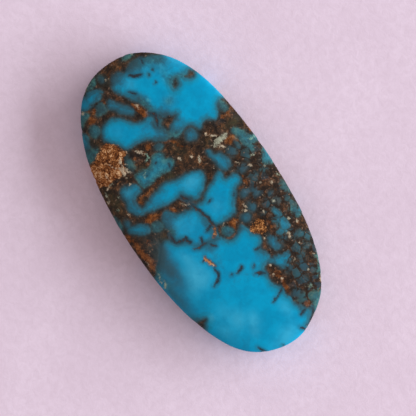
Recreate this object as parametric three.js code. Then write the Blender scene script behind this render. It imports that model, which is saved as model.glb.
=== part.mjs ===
// Turquoise cabochon: one natural stone, cut to a long oval, with a gently crowned top and a flat ground back.
// Millimetres, Z up. The length runs along X, the width along Y, and the flat back lies on Z = 0.

import * as THREE from 'three';

// Driving dimensions
const length = 38.0;
const width = 19.0;
const thickness = 4.8;

// The back's edge is broken by a small chamfer, and a steep wall stands between it and the dome
const backChamfer = 0.35;
const chamferTop = 0.4;
const wallTop = 3.5;
const wallLean = 0.12;

// A plain ellipse has a fullness of 2. The cut outline is a little squarer than that
const outlineFullness = 2.36;

// Exponents of the dome's section: a nearly flat crown with a rounded shoulder
const crownFlatness = 3.0;
const shoulderRoundness = 0.5;

// Places where the hand-ground outline stands out from the even oval, or falls inside it.
// turn is measured anticlockwise from +X around the oval, spread is how far the place reaches, both in degrees
const outlineSwells = [
  { name: 'bulge near the blue end', turn: -36, spread: 13, depth: 0.15 },
  { name: 'bulge at the blue corner', turn: 131, spread: 14, depth: 0.24 },
  { name: 'chipped stretch of rim', turn: 24, spread: 12, depth: -0.26 },
  { name: 'flat near the brown end', turn: -138, spread: 14, depth: -0.1 },
  { name: 'soft belly', turn: -90, spread: 14, depth: 0.08 },
  { name: 'blue tip', turn: 0, spread: 9, depth: 0.1 },
];

// Long, shallow waves that hand polishing leaves on the dome
const polishWaves = [
  { waveLength: 17, heading: 20, height: 0.04 },
  { waveLength: 11, heading: 105, height: 0.025 },
];

// How finely the solid is faceted
const segmentsAround = 120;
const domeRings = 15;

const halfLength = length / 2;
const halfWidth = width / 2;
const radiansPerDegree = Math.PI / 180;

// Signed difference of two angles in degrees, between -180 and 180
function turnBetween(a, b) {
  return ((a - b + 540) % 360) - 180;
}

// A point of the cut outline at a turn in degrees
function outlinePoint(turn) {
  const cosine = Math.cos(turn * radiansPerDegree);
  const sine = Math.sin(turn * radiansPerDegree);
  const sum = Math.abs(cosine) ** outlineFullness + Math.abs(sine) ** outlineFullness;
  const point = new THREE.Vector2(halfLength * cosine, halfWidth * sine);
  point.multiplyScalar(sum ** (-1 / outlineFullness));
  let swell = 0;
  for (const { turn: middle, spread, depth } of outlineSwells) {
    swell += depth * Math.exp(-((turnBetween(turn, middle) / spread) ** 2));
  }
  return point.setLength(point.length() + swell);
}

// The whole outline, moved and stretched a hair so that it measures exactly the driving length and width
function fittedOutline() {
  const points = [];
  for (let i = 0; i < segmentsAround; i += 1) {
    points.push(outlinePoint((360 * i) / segmentsAround));
  }
  const box = new THREE.Box2().setFromPoints(points);
  const middle = box.getCenter(new THREE.Vector2());
  const size = box.getSize(new THREE.Vector2());
  const fit = new THREE.Vector2(length / size.x, width / size.y);
  return points.map((point) => point.sub(middle).multiply(fit));
}

// The outline drawn in by a distance all round
function insetOutline(outline, distance) {
  return outline.map((point, i) => {
    const before = outline.at(i - 1);
    const after = outline[(i + 1) % outline.length];
    const along = after.clone().sub(before).normalize();
    return new THREE.Vector2(point.x - along.y * distance, point.y + along.x * distance);
  });
}

// Height of the polish waves over a place on the dome
function polishHeight(x, y) {
  let height = 0;
  for (const wave of polishWaves) {
    const heading = wave.heading * radiansPerDegree;
    const along = x * Math.cos(heading) + y * Math.sin(heading);
    height += wave.height * Math.sin((2 * Math.PI * along) / wave.waveLength);
  }
  return height;
}

// Height of the dome at a share of the way out from its middle, 0, to the rim, 1
function domeHeight(share) {
  return wallTop + (thickness - wallTop) * (1 - share ** crownFlatness) ** shoulderRoundness;
}

// Stretches the dome's points so that the highest one stands at the driving thickness
function fitThickness(points) {
  const highest = Math.max(...points.map((point) => point.z));
  const stretch = (thickness - wallTop) / (highest - wallTop);
  for (const point of points) {
    if (point.z > wallTop) {
      point.z = wallTop + (point.z - wallTop) * stretch;
    }
  }
}

// The rings of the stone from the back's flat up to the crown, each a list of points
function stoneRings() {
  const outline = fittedOutline();
  const backEdge = insetOutline(outline, backChamfer);
  const domeFoot = insetOutline(outline, wallLean);
  const rings = [
    backEdge.map(({ x, y }) => new THREE.Vector3(x, y, 0)),
    outline.map(({ x, y }) => new THREE.Vector3(x, y, chamferTop)),
    domeFoot.map(({ x, y }) => new THREE.Vector3(x, y, wallTop)),
  ];
  for (let i = 1; i < domeRings; i += 1) {
    const share = Math.cos((Math.PI / 2) * (i / domeRings));
    const fade = 1 - share ** 4;
    rings.push(domeFoot.map(({ x, y }) => {
      const z = domeHeight(share) + fade * polishHeight(x * share, y * share);
      return new THREE.Vector3(x * share, y * share, z);
    }));
  }
  return rings;
}

// One closed skin over the rings, with a fan of triangles at the back and one at the crown
function stoneGeometry() {
  const rings = stoneRings();
  const points = rings.flat();
  const faces = [];
  const around = segmentsAround;
  for (let ring = 0; ring < rings.length - 1; ring += 1) {
    for (let i = 0; i < around; i += 1) {
      const a = ring * around + i;
      const b = ring * around + ((i + 1) % around);
      faces.push(a, b, b + around, a, b + around, a + around);
    }
  }
  const backMiddle = points.push(new THREE.Vector3(0, 0, 0)) - 1;
  const crown = points.push(new THREE.Vector3(0, 0, domeHeight(0) + polishHeight(0, 0))) - 1;
  fitThickness(points);
  const topRing = (rings.length - 1) * around;
  for (let i = 0; i < around; i += 1) {
    const next = (i + 1) % around;
    faces.push(backMiddle, next, i);
    faces.push(crown, topRing + i, topRing + next);
  }
  const geometry = new THREE.BufferGeometry().setFromPoints(points);
  geometry.setIndex(faces);
  geometry.computeVertexNormals();
  return geometry;
}

// Turquoise blue, as on the cleanest part of the stone, with a soft polish
const turquoise = new THREE.MeshStandardMaterial({ color: 0x1f93b4, roughness: 0.4, metalness: 0 });

const stone = new THREE.Mesh(stoneGeometry(), turquoise);
stone.name = 'turquoise_stone';

const cabochon = new THREE.Group();
cabochon.add(stone);

export default cabochon;
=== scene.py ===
import math

import bmesh
import bpy
import numpy as np
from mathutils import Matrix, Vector, noise


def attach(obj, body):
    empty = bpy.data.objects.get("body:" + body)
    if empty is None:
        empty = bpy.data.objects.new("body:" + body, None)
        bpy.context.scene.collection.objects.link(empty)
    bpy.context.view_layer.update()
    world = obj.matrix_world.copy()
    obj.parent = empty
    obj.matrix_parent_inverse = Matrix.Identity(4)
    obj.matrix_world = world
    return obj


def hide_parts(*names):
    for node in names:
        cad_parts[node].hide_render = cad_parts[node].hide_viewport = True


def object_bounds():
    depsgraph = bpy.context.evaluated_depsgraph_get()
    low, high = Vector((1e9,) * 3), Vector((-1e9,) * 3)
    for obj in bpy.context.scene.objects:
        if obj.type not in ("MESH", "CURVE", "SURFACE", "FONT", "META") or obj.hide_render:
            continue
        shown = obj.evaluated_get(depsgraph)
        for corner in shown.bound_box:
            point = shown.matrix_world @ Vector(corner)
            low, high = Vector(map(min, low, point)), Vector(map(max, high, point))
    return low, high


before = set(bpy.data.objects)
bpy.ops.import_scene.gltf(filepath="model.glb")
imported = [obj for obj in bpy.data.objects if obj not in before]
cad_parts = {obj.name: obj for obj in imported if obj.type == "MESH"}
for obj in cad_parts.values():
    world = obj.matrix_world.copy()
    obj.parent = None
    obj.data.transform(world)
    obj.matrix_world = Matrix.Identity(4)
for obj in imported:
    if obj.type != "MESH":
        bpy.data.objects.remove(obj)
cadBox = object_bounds()
mm = 0.001

# The stone's skin. Lengths are in millimetres.
stone = {
    "node": "turquoise_stone",
    "slot": "turquoise_with_matrix",
    "facetRounding": 2,  # subdivision levels before the even skin is made
    "sharpTurn": 22,  # degrees; an edge that turns more than this keeps most of its corner
    "cornerHold": 0.75,
    "skinGrain": 0.134,  # size of the even quads
    "smoothing": 2,
    "rimHeight": 3.5,  # top of the wall, where the dome starts
    "wallLean": 0.12,  # how far the rim stands inside the foot of the wall
    "matrixDip": 0.035,  # the softer brown matrix lies a little lower than the blue
    "hollowDip": 0.12,  # hollows here and there in the matrix
    "grainPits": 0.07,  # deepest pits in the two grainy patches
    "veinGroove": 0.05,
    "fleckRise": 0.05,
    "polishWaves": 0.02,
    "backWear": 0.25,  # share of the wear that reaches the ground back
    "restingHeight": 0.06,  # skin below this is laid flat
    "toneBlend": 0.16,  # how softly the tones of two blue areas meet
    "islandRim": 0.12,  # matrix left round the islands in the blue
    "veinFade": 0.16,  # how much thinner veins and flecks get per millimetre below the rim
    "patternDip": (0.45, -0.25),  # sideways shift of the pattern per millimetre below the rim
    "patternDrift": 1.3,  # how much that shift wanders over the stone
    "patternSwirl": 1.5,  # twist of the pattern, full at swirlDepth below the rim
    "swirlDepth": 2.5,
    "narrowing": 0.012,  # how far the pattern closes in per millimetre below the rim
    "broadBend": 0.16,  # unevenness of every drawn edge
    "fineBend": 0.07,
    "seed": 4,
}
noise.seed_set(stone["seed"])

# How the photograph was taken. Pixels are of the 416 by 416 frame, lengths in millimetres.
shot = {
    "frame": 416,
    "stoneLength": 334.1,
    "stoneMiddle": (200.9, 202.4),
    "stoneTurn": 56.25,  # degrees from image right, clockwise, to the stone's +X
    "cameraHeight": 120,
    "nearClip": 5,
    "farClip": 20000,
    "sensor": 36,
}


def added(name, data):
    thing = bpy.data.objects.new(name, data)
    bpy.context.scene.collection.objects.link(thing)
    return thing


# Camera

def placeCamera():
    low, high = cadBox
    silhouette = high.x - low.x - 2 * stone["wallLean"] * mm
    height = (shot["cameraHeight"] - stone["rimHeight"]) * mm
    perPixel = silhouette / shot["stoneLength"]
    turn = math.radians(shot["stoneTurn"])
    right = (shot["frame"] / 2 - shot["stoneMiddle"][0]) * perPixel
    down = (shot["frame"] / 2 - shot["stoneMiddle"][1]) * perPixel
    data = bpy.data.cameras.new("overheadCamera")
    data.sensor_width = shot["sensor"]
    data.lens = shot["sensor"] * height / (shot["frame"] * perPixel)
    data.clip_start = shot["nearClip"] * mm
    data.clip_end = shot["farClip"] * mm
    camera = added("overheadCamera", data)
    camera.location = (
        right * math.cos(turn) + down * math.sin(turn),
        right * math.sin(turn) - down * math.cos(turn),
        shot["cameraHeight"] * mm,
    )
    camera.rotation_euler = (0, 0, turn)
    bpy.context.scene.camera = camera
    return camera


camera = placeCamera()
print("camera over the stone, lens", round(camera.data.lens, 1))


# The pattern, drawn on a plan seen from above. Places are (x, y) in millimetres from the middle of
# the stone. A pool is a blue area: its tone from 0, slate, to 1, clear sky blue, its green from 0 to 1, and
# its closed outline.
pools = {
    "skyNorthWest": (1, 0, [
        (-8.4, 9.9), (-8.5, 8.5), (-8.3, 8), (-7.7, 7.4), (-7, 7), (-6.9, 6.4), (-7.4, 5.8), (-7.3, 5.1),
        (-7, 4.6), (-7.6, 4.2), (-8, 3.7), (-8, 3.1), (-7.8, 2.5), (-7.7, 1.9), (-8.1, 1.4), (-8.7, 1.5),
        (-9.1, 2.1), (-9.6, 2.9), (-10.2, 2.5), (-10.4, 1.8), (-11, 1.6), (-11.8, 1.1), (-12.8, 0.7),
        (-13.6, 0.3), (-14.4, -0.3), (-15.3, -0.8), (-16, -1.1), (-16.7, -0.9), (-17.3, -0.6), (-17.4, 0.1),
        (-17.1, 0.9), (-17.3, 1.8), (-17.4, 2.6), (-17.3, 3.2), (-17, 3.9), (-16.8, 4.6), (-16.4, 5.2),
        (-16.3, 5.8), (-16.2, 7.2), (-13, 9.9)]),
    "westShallows": (0.28, 0.1, [
        (-10.3, 1.5), (-9.9, 0.9), (-9, 1.2), (-8.2, 1.4), (-8, 0.7), (-8.4, 0), (-8.8, -0.6), (-9.6, -0.6),
        (-10.4, 0.5)]),
    "westPool": (0.95, 0, [
        (-11, 0.8), (-10.2, 0.5), (-9.4, 0.5), (-8.9, 0.1), (-8.9, -0.5), (-9.3, -1.1), (-9.4, -1.9),
        (-9.5, -2.7), (-9.5, -3.4), (-9.9, -3.9), (-10.6, -4.1), (-11.2, -4.7), (-12, -5.2), (-12.8, -4.9),
        (-13.35, -4.1), (-13.45, -3.2), (-13.1, -2.4), (-12.5, -1.9), (-11.9, -1.6), (-11.5, -1),
        (-11.3, -0.2), (-11.3, 0.4)]),
    "westStreak": (0.42, 0, [
        (-12.5, -0.7), (-12.6, -1.1), (-13.2, -1.7), (-13.9, -2.2), (-14.6, -2.7), (-15.1, -2.6),
        (-15.5, -2.1), (-14.8, -1.8), (-14.2, -1.3), (-13.6, -0.8), (-13, -0.5)]),
    "westRim": (0.55, 0, [
        (-16.4, -2.5), (-16.1, -3.1), (-15.9, -3.9), (-15.8, -4.8), (-15.9, -5.6), (-16.4, -6.2),
        (-17.6, -5.4), (-17.5, -4.7), (-17.3, -4.2), (-17.5, -3.5), (-17.2, -2.8), (-16.8, -2.4)]),
    "westSlate": (0.15, 0.25, [
        (-15.7, -3.1), (-15.1, -2.9), (-14.6, -3), (-14.5, -3.6), (-14.6, -4.2), (-15.2, -3.8),
        (-15.7, -3.7)]),
    "southWestBead": (0.25, 0.2, [
        (-13.9, -5.3), (-13.4, -5), (-12.9, -5.2), (-12.8, -5.8), (-13.3, -6.1), (-13.8, -5.9)]),
    "southWestRim": (0.45, 0.1, [
        (-13.8, -6.7), (-13.2, -6.6), (-12.5, -6.8), (-12, -7.1), (-12, -8.1), (-13, -8.3), (-14.3, -7.5)]),
    "southWestSlate": (0.12, 0.3, [
        (-11.7, -6.5), (-11.2, -6.7), (-10.9, -7.2), (-10.7, -8), (-11.2, -8.8), (-12.1, -8.4),
        (-11.8, -7.4)]),
    "westSliver": (0.3, 0.3, [
        (-15.5, -5.2), (-15.1, -5.3), (-14.9, -6), (-14.4, -6.5), (-15.3, -7.1), (-15.8, -6.2)]),
    "northBead": (0.42, 0, [
        (-7, 4.05), (-6.5, 3.9), (-6.3, 3.4), (-6.6, 2.9), (-7.1, 2.75), (-7.6, 3), (-7.65, 3.6)]),
    "northLeaf": (0.5, 0, [
        (-3.4, 4.9), (-2.7, 5.3), (-1.9, 5.3), (-1.5, 4.9), (-1.5, 4.3), (-2, 4), (-2.9, 3.9), (-3.8, 3.75),
        (-4.4, 3.8), (-4.3, 4.1), (-3.6, 4.3)]),
    "northRimTeal": (0.35, 0.4, [
        (-4.9, 7.9), (-4.4, 8.3), (-3.9, 8.6), (-3.3, 8.9), (-2.8, 9.8), (-2.4, 9.8), (-2.4, 8.6),
        (-1.8, 8.4), (-1.8, 7.9), (-2.4, 7.8), (-3.3, 7.7), (-4.2, 7.5), (-4.8, 7.5)]),
    "northRimBlue": (0.42, 0.35, [
        (-1.4, 9.9), (-1, 9), (-0.5, 8.6), (0, 8.4), (0.5, 8.7), (0.7, 9.9)]),
    "eastIsland": (0.5, 0.1, [
        (5.1, 6.5), (5.6, 6.9), (6.4, 6.95), (7.4, 7.1), (8, 6.8), (8.1, 6.2), (8.2, 5.6), (7.6, 5.3),
        (7.2, 5.9), (6.6, 6), (6.1, 5.6), (6, 6.1), (5.4, 6.1)]),
    "eastRimBead": (0.45, 0.4, [
        (6.4, 8.9), (6.9, 9.3), (7.3, 8.9), (7.3, 8.3), (6.9, 7.9), (6.3, 7.9), (6, 8.2), (6.3, 8.5)]),
    "eastPebble": (0.45, 0, [
        (7.5, 4.5), (8, 4.9), (8.5, 4.8), (9.2, 4.8), (9.3, 4.3), (8.9, 3.9), (8.2, 3.8), (7.6, 4.1)]),
    "eastCove": (0.6, 0, [
        (9.7, 2.7), (9.8, 3.4), (9.8, 4.2), (10.1, 5), (10.6, 5.2), (10.9, 4.9), (11, 4.5), (11.5, 4.4),
        (11.4, 3.9), (11.1, 3.4), (10.4, 3.1), (9.9, 2.5)]),
    "eastRimGreen": (0.3, 0.55, [
        (15.6, 5.4), (16.2, 5.9), (17, 5.2), (17.8, 4), (17.2, 3.9), (16.4, 4.2), (15.6, 4.1), (15.4, 4.7)]),
    "centralPool": (0.88, 0, [
        (-0.5, 4.9), (0.1, 5.3), (0.6, 5), (0.75, 4.5), (1.1, 4.1), (1.7, 3.5), (2.3, 3), (3, 2.6),
        (3.25, 2), (3.2, 1.3), (3.2, 0.6), (3, 0), (2.4, -0.4), (1.2, -0.7), (0.2, -0.8), (-0.1, -0.4),
        (-0.1, 0.3), (-0.5, 0.9), (-0.9, 1.6), (-1.2, 2.4), (-1.6, 3), (-1.9, 3.6), (-1.5, 3.85),
        (-0.8, 3.7), (-0.65, 4.2)]),
    "finger": (0.8, 0, [
        (-2.6, 1.95), (-2, 1.8), (-1.4, 1.3), (-0.9, 0.7), (-0.6, 0.1), (-0.7, -0.4), (-1.2, -0.8),
        (-1.9, -1.2), (-1.9, -2), (-1.85, -2.8), (-2, -3.6), (-2.1, -4.4), (-2.3, -5.1), (-2.5, -5.7),
        (-2.5, -6.3), (-2.9, -6.9), (-3.6, -7.2), (-4.5, -7), (-5.4, -7.1), (-6.1, -6.7), (-6.2, -6.2),
        (-5.9, -5.5), (-5.5, -4.9), (-4.9, -5), (-4.7, -5.6), (-4.3, -6.1), (-3.7, -6.1), (-3.3, -5.6),
        (-3.5, -4.8), (-3.75, -4), (-3.9, -3), (-4, -2), (-3.75, -1.2), (-3.7, -0.3), (-3.6, 0.6),
        (-3.4, 1.3), (-3, 1.8)]),
    "tealPatch": (0.62, 0.35, [
        (-7.4, -0.9), (-6.7, -0.7), (-6.2, -0.75), (-5.9, -0.1), (-5.3, -0.2), (-5.1, -1), (-5.25, -1.8),
        (-5.1, -2.6), (-5.1, -3.4), (-5.1, -4.4), (-5.9, -4.5), (-6.6, -4.4), (-6.5, -3.5), (-6.3, -2.8),
        (-6.6, -2.2), (-7.2, -1.7)]),
    "midPool": (0.75, 0, [
        (-1.4, -3.9), (-1, -3.5), (-0.4, -3.1), (-0.2, -2.4), (0, -1.6), (0.2, -0.9), (1.2, -0.6),
        (2.4, -0.4), (3.3, -0.5), (4.3, -0.5), (4.6, -1.4), (4.4, -2.4), (4, -3.4), (3.2, -3.9),
        (2.4, -4.3), (2.1, -4.8), (1.4, -4.8), (0.8, -4.6), (0.3, -4.9), (-0.4, -4.9), (-1, -4.6)]),
    "eastField": (1, 0, [
        (5.3, 0.1), (5.4, 1), (4.9, 1.8), (4.7, 2.3), (5.4, 2.8), (6.2, 2.8), (6.9, 3.4), (7.4, 3.3),
        (7.9, 2.7), (8.3, 2.7), (8.9, 3), (9.7, 2.9), (9.9, 2.3), (10.2, 1.8), (11, 1.6), (11.9, 1.6),
        (12.6, 1.9), (13.1, 2.2), (13.9, 2.2), (14.6, 2.6), (15.2, 2.6), (15.8, 3), (16.4, 3), (17, 3.5),
        (17.6, 3.1), (18, 2.6), (18.6, 2.3), (19.9, 2), (19.9, -4), (16.5, -8), (12, -9.8), (5.5, -9.8),
        (4, -8.6), (2.8, -7.4), (1.5, -6.4), (1.6, -5.6), (2.2, -5.1), (2.6, -4.4), (2.8, -3.8), (3.4, -3),
        (4, -2), (4.3, -1), (4.5, -0.3)]),
    "southBead": (0.6, 0, [
        (-0.8, -6.4), (-0.45, -6.8), (-0.6, -7.5), (-1.1, -8.2), (-1.7, -8.7), (-2.1, -8.4), (-1.9, -7.7),
        (-1.6, -7), (-1.2, -6.5)]),
}

# Small rounded fragments: x, y, half length, half width, turn in degrees, tone, green
pebbles = [
    (-3, 7.1, 0.5, 0.35, 10, 0.18, 0.1), (-2.9, 6.1, 0.45, 0.4, 0, 0.16, 0),
    (-0.6, 6, 0.38, 0.5, 0, 0.22, 0), (1, 6.6, 0.5, 0.42, 0, 0.22, 0.1), (2.25, 5.8, 0.5, 0.4, 0, 0.25, 0),
    (3.6, 7.1, 0.35, 0.35, 0, 0.12, 0), (4.3, 6.2, 0.42, 0.35, 0, 0.18, 0),
    (4.2, 3.3, 0.45, 0.52, 0, 0.32, 0), (3.7, 4.55, 0.48, 0.35, 20, 0.3, 0),
    (1.9, 4.75, 0.38, 0.5, 0, 0.24, 0), (3.8, 8.9, 0.55, 0.35, 0, 0.25, 0.3),
    (9.3, 7.5, 0.38, 0.5, -20, 0.35, 0.2), (9, 6.8, 0.4, 0.3, 0, 0.25, 0.1),
    (12.3, 5.6, 0.65, 0.42, -15, 0.22, 0), (11.3, 6.2, 0.42, 0.3, -20, 0.25, 0.1),
    (12.7, 4.6, 0.5, 0.4, 0, 0.22, 0.2), (13.8, 4.9, 0.5, 0.32, 0, 0.16, 0),
    (15.3, 3.5, 0.36, 0.5, 0, 0.3, 0.3), (14.5, 3.2, 0.45, 0.5, 0, 0.3, 0),
    (9.9, 7.8, 0.35, 0.42, 0, 0.3, 0.2), (12.4, 7.75, 0.38, 0.32, -20, 0.35, 0.6),
    (13.65, 7, 0.6, 0.3, -30, 0.32, 0.7), (4.4, 0.7, 0.5, 0.52, 45, 0.5, 0.2),
    (-0.5, -5.6, 0.55, 0.6, 0, 0.14, 0.2), (-2.5, -8.3, 0.38, 0.32, 0, 0.3, 0),
    (-8.1, -4.3, 0.55, 0.28, 0, 0.14, 0.3), (-17.8, -1.6, 0.3, 0.2, 0, 0.14, 0.1),
    (-7.8, 8, 0.55, 0.4, 10, 0.16, 0.3), (-18.4, 2.3, 0.25, 0.45, 0, 0.3, 0.5),
    (-7.9, -0.5, 0.3, 0.35, 0, 0.12, 0.1), (-3.1, -9.15, 0.5, 0.22, 0, 0.3, 0.3),
    (-17.9, -2.9, 0.25, 0.5, 20, 0.25, 0.7), (11.9, 4.3, 0.3, 0.35, 0, 0.25, 0),
    (0.7, 8, 0.35, 0.3, 0, 0.12, 0.2), (5.4, 8.5, 0.35, 0.25, 0, 0.12, 0.2),
    (8.6, 5.5, 0.25, 0.3, 0, 0.15, 0), (-1.4, 7.3, 0.3, 0.25, 0, 0.12, 0.1),
    (10.6, 7.4, 0.3, 0.4, 0, 0.14, 0.1), (10.4, 6.4, 0.35, 0.3, 0, 0.2, 0.1),
    (13.3, 6.2, 0.3, 0.25, 0, 0.14, 0),
]

# Veins inside the pools: half width, stain from 0, black, to 1, amber, and the path
veins = [
    (0.15, 0, [(-15.8, 2.35), (-15.8, 1.95), (-16.05, 1.6), (-16.45, 1.3)]),
    (0.11, 0, [(-14.3, 0.6), (-14.55, 0.4), (-14.85, 0.15)]),
    (0.1, 0.05, [(-17.3, 3.35), (-16.8, 3.25)]),
    (0.13, 0.3, [(-11.6, 0.8), (-11.2, 1.25), (-10.9, 1.25), (-10.4, 1), (-9.9, 0.6)]),
    (0.1, 0.45, [(-0.5, -1.15), (-0.1, -0.9), (0.3, -0.85), (0.8, -0.55), (1.3, -0.58), (1.8, -0.35),
                  (2.4, -0.33), (3, -0.1)]),
    (0.16, 0.95, [(3, -0.25), (3.4, -0.4), (3.8, -0.7), (4.1, -1)]),
    (0.12, 0.15, [(2.6, -0.3), (2.8, -0.8), (3.1, -1.3)]),
    (0.12, 0.45, [(4.6, -1.75), (4.85, -1.6), (5.1, -1.4)]),
    (0.08, 0.2, [(3.4, -2.2), (3.75, -2.4), (4, -2.45)]),
    (0.12, 0.6, [(4.2, -2.1), (4.05, -2.5), (4.1, -3), (4, -3.45)]),
    (0.15, 1.00, [(5.3, -3.1), (5.55, -3.2), (6, -2.95), (6.4, -2.85), (6.85, -2.7)]),
    (0.09, 0.05, [(5.55, -3.2), (5.6, -3.5)]),
    (0.11, 0.15, [(7, -2.9), (7.35, -3), (7.7, -2.85), (8.2, -3.1), (8.55, -3.6), (8.7, -4)]),
    (0.13, 0.25, [(8.6, -0.15), (8.75, -0.6), (8.9, -1.1)]),
    (0.07, 0.2, [(8.7, -1.5), (8.85, -1.7)]),
    (0.14, 0.3, [(3.1, -3.45), (2.75, -3.75), (2.4, -3.65), (2.45, -3.95), (2.2, -4.5), (2.2, -4.9),
                  (1.6, -5), (1.1, -4.95)]),
    (0.1, 0.55, [(9.2, 1), (9.45, 0.9)]),
    (0.17, 0.35, [(10.65, 1.45), (10.4, 1.15), (10.1, 0.75)]),
    (0.09, 0.05, [(13.1, 2.15), (13.3, 1.7), (13.5, 1.3), (13.9, 0.7)]),
    (0.11, 0.05, [(16.6, 3), (16.75, 2.7), (16.85, 2.35)]),
    (0.15, 0, [(16.9, 3.85), (17.4, 3.6), (17.9, 3.1), (18.3, 2.7)]),
    (0.13, 0, [(18.35, 2.5), (18.1, 2.15)]),
    (0.12, 0, [(18.6, 2), (18.3, 1.8), (18.05, 1.5)]),
    (0.15, 0, [(17.2, -3.75), (17.5, -3.6), (18, -3.4)]),
    (0.1, 0.3, [(7.85, 2.2), (7.9, 2.7)]),
    (0.08, 0.1, [(0.35, 1.15), (0.4, 0.75)]),
    (0.1, 0, [(1.3, 3.65), (1.4, 3.5)]),
    (0.13, 0.3, [(-1.9, -1.45), (-1.4, -1.25), (-0.9, -1)]),
    (0.09, 0, [(-14.1, 3.35), (-14, 3.25)]),
    (0.07, 0.1, [(-15.65, 3.9), (-15.5, 3.8)]),
    (0.08, 0.2, [(-15.35, 3.1), (-15.2, 3.05)]),
    (0.09, 0, [(-6.5, -1.65), (-6.4, -1.8)]),
    (0.12, 0.05, [(-5.6, -0.55), (-5.3, -0.75)]),
    (0.09, 0.05, [(-5.95, -3.35), (-6, -3.45)]),
    (0.06, 0, [(18.6, -1.25), (18.65, -1.4)]),
]

# Closed outlines of brown ground that lies inside the blue
islands = {
    "longScar": [
        (-5, -1.9), (-4.6, -1.9), (-4.35, -2.8), (-4.2, -3.8), (-3.95, -4.6), (-3.45, -5.2), (-3.2, -5.7),
        (-3.7, -6), (-4.35, -5.7), (-4.65, -4.9), (-4.8, -3.9), (-5, -2.9)],
    "wedge": [
        (-9.9, 3), (-9.65, 2.6), (-9.3, 2.1), (-8.85, 1.5), (-9.05, 1.35), (-9.5, 1.8), (-9.85, 2.3)],
    "northSmudge": [
        (-13.15, 7.2), (-12.8, 7.5), (-12.45, 7.3), (-12.5, 6.8), (-12.75, 6.4), (-13, 6.3), (-12.85, 6.8)],
    "lowerSmudge": [(-13.2, 5.3), (-12.8, 5.3), (-12.45, 4.9), (-12.5, 4.6), (-12.9, 4.8)],
    "rimWedge": [
        (10.3, -8.8), (10.9, -8), (11.2, -7.3), (11.4, -6.9), (11.65, -7.3), (12.1, -7.8), (11.6, -8.7)],
}

# Soft washes over the pattern: x, y, half length, half width, turn in degrees, strength
toneWashes = [
    (-13.4, 5.7, 0.45, 1.5, 8, -0.5), (-15.2, 5.2, 1.8, 1.5, 0, -0.4), (-16.9, 2.3, 1.1, 1.4, 0, -1),
    (-17, -0.2, 1.3, 1.1, 0, -0.8), (-13.4, 0.8, 2, 0.6, 20, -0.75), (-9.2, 3.2, 1.8, 0.9, -15, -0.4),
    (-8.2, 1.9, 0.9, 0.8, 0, -0.75), (-10.5, 2.2, 1.1, 0.8, 0, -0.75), (-11.7, 3.3, 0.8, 0.8, 0, -0.45),
    (-10.4, -0.3, 1, 1.3, 0, -0.45), (-9.6, -2.8, 0.6, 1.6, 0, -0.4), (-4.4, -6.4, 2.4, 0.9, 0, -0.45),
    (-2.8, -4.6, 0.8, 1.2, 0, -0.2), (4.7, -1.3, 0.9, 1.7, 0, -0.5), (4.9, 2, 0.7, 0.8, 0, -0.6),
    (9.4, -0.4, 0.9, 2.2, 0, -0.25), (16.2, -4.5, 1.6, 0.8, -30, -0.3), (6.2, -2.1, 2.4, 0.6, 0, -0.35),
    (8.7, 2.1, 1.4, 1, 0, -0.35), (10.1, -5.9, 0.8, 1.6, 0, -0.25), (0.2, -4.4, 1.6, 0.8, 0, -0.35),
    (15.8, 2.8, 1.8, 0.5, 0, -0.6), (-0.4, -3.9, 0.9, 0.9, 0, -0.3), (1.4, 3.8, 1, 0.4, -30, -0.4),
    (-7.9, 5.2, 0.4, 2.2, 0, -0.3), (-16.2, 4.6, 0.6, 1.2, -35, -0.5), (2.9, -1, 1.4, 0.4, 0, -0.4),
    (4.1, -3.2, 0.9, 0.9, 0, -0.4), (-1.3, 3.2, 0.4, 1.2, 20, -0.3), (8, -7.6, 2.4, 0.8, 10, -0.3),
    (3.2, -7.3, 2, 0.7, -42, -0.8),
]
# Pale washes, partly paler blue and partly painted light: the two along the north rim, at (-14.6, 7.2) and
# (-9.5, 8.9), are a painted sheen where the rim slopes towards the light, and the one on the west pool, at
# (-12, -3.6), is painted light that lifts its shaded shoulder
paleAndSheenWashes = [
    (-14.6, 7.2, 2, 0.8, 30, 0.7), (-9.5, 8.9, 3, 0.5, 5, 0.5), (6.8, -4.9, 1.5, 1.3, 0, 0.9),
    (4.2, -4.9, 1.4, 0.7, 0, 0.5), (14.6, -2.5, 1.2, 0.8, -20, 0.6), (13.4, -3.9, 1.2, 0.9, -20, 0.5),
    (15.6, -3, 0.7, 0.5, 0, 0.4), (17.5, 0.4, 0.9, 1.3, 0, 0.4), (-2.6, 0.5, 0.9, 1.2, 0, 0.6),
    (1.2, 1.2, 1.2, 1, 0, 0.3), (1.2, -3, 1.2, 1.3, 0, 0.35), (12, -4.8, 1.3, 1, 0, 0.3),
    (15.3, 1.4, 1.2, 0.7, 0, 0.4), (-15.6, 0.8, 0.8, 0.7, 0, 0.3), (11.6, -6.3, 0.5, 0.5, 0, 0.6),
    (7, -6, 1.6, 0.8, 0, 0.4), (18.2, -0.8, 0.9, 1.6, 0, 0.4), (-12, -3.6, 1.2, 1, 0, 0.2),
    (14, -5.8, 1.6, 0.8, 25, 0.4), (-5.6, -6.2, 0.8, 0.6, 0, 0.3),
]
greenWashes = [
    (-11.6, 3.4, 0.6, 0.7, 0, 0.45), (-13.9, 4.6, 1.2, 0.5, 0, 0.35), (-13.3, 5.8, 0.5, 1, 0, 0.25),
    (-13, 1.5, 0.5, 0.3, 0, 0.4), (-12.6, 1, 1.2, 0.4, 15, 0.4), (1, -4.9, 0.5, 0.4, 0, 0.7),
    (5.5, -8.4, 2.6, 0.5, 5, 0.4), (-16.3, 4, 1, 1.6, -30, 0.3), (-8, 1.9, 0.6, 0.6, 0, 0.5),
    (-15.3, 3, 0.4, 0.3, 0, 0.3),
]
smokeWashes = [
    (4.4, -7.4, 3.6, 1, 3, 0.9), (1.6, -6.6, 1.6, 0.9, 0, 0.7), (7.6, -8.3, 3.2, 0.7, 8, 0.6),
    (10.9, -8, 0.8, 0.5, 0, 0.4), (4.3, -6.4, 2.2, 0.7, 0, 0.4),
]
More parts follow.
